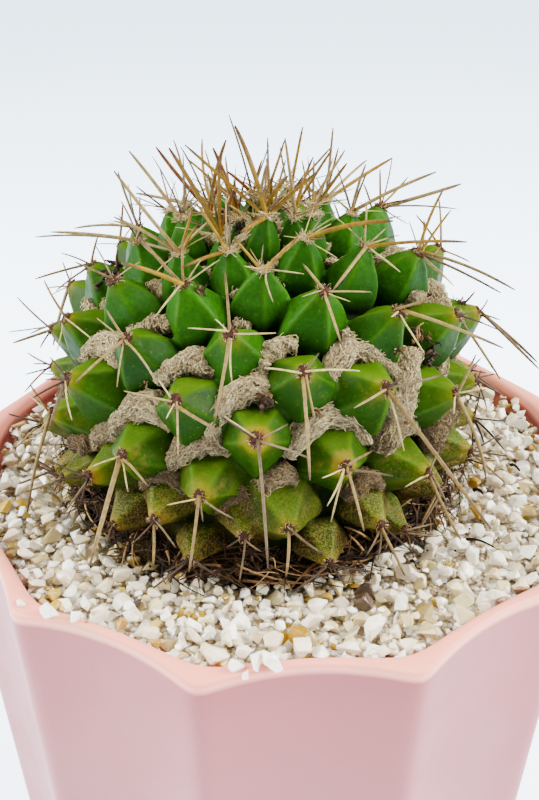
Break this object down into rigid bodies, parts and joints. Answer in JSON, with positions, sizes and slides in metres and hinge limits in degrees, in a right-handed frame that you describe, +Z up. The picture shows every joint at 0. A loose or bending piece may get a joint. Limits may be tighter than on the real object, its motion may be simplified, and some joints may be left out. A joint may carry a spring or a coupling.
{
  "type": "potted round cactus",
  "caption": "Round tubercled cactus with woolly hollows and long straw-coloured spines, growing in a fluted pink pot topped with crushed quartz.",
  "frame": {"origin": "middle of the flat underside that the pot rests on", "axes": "+Z up along the pot's axis, -Y towards the side seen in the picture, +X to its right"},
  "size_m": [0.1276, 0.1276, 0.1794],
  "materials": {
    "pot_plastic": "satin",
    "potting_soil": "matte",
    "crushed_quartz": "satin",
    "cactus_skin": "satin"
  },
  "bodies": {
    "root": {"pot": "pot_plastic", "soil": "potting_soil", "gravel": "crushed_quartz", "cactus": "cactus_skin"}
  },
  "joints": []
}
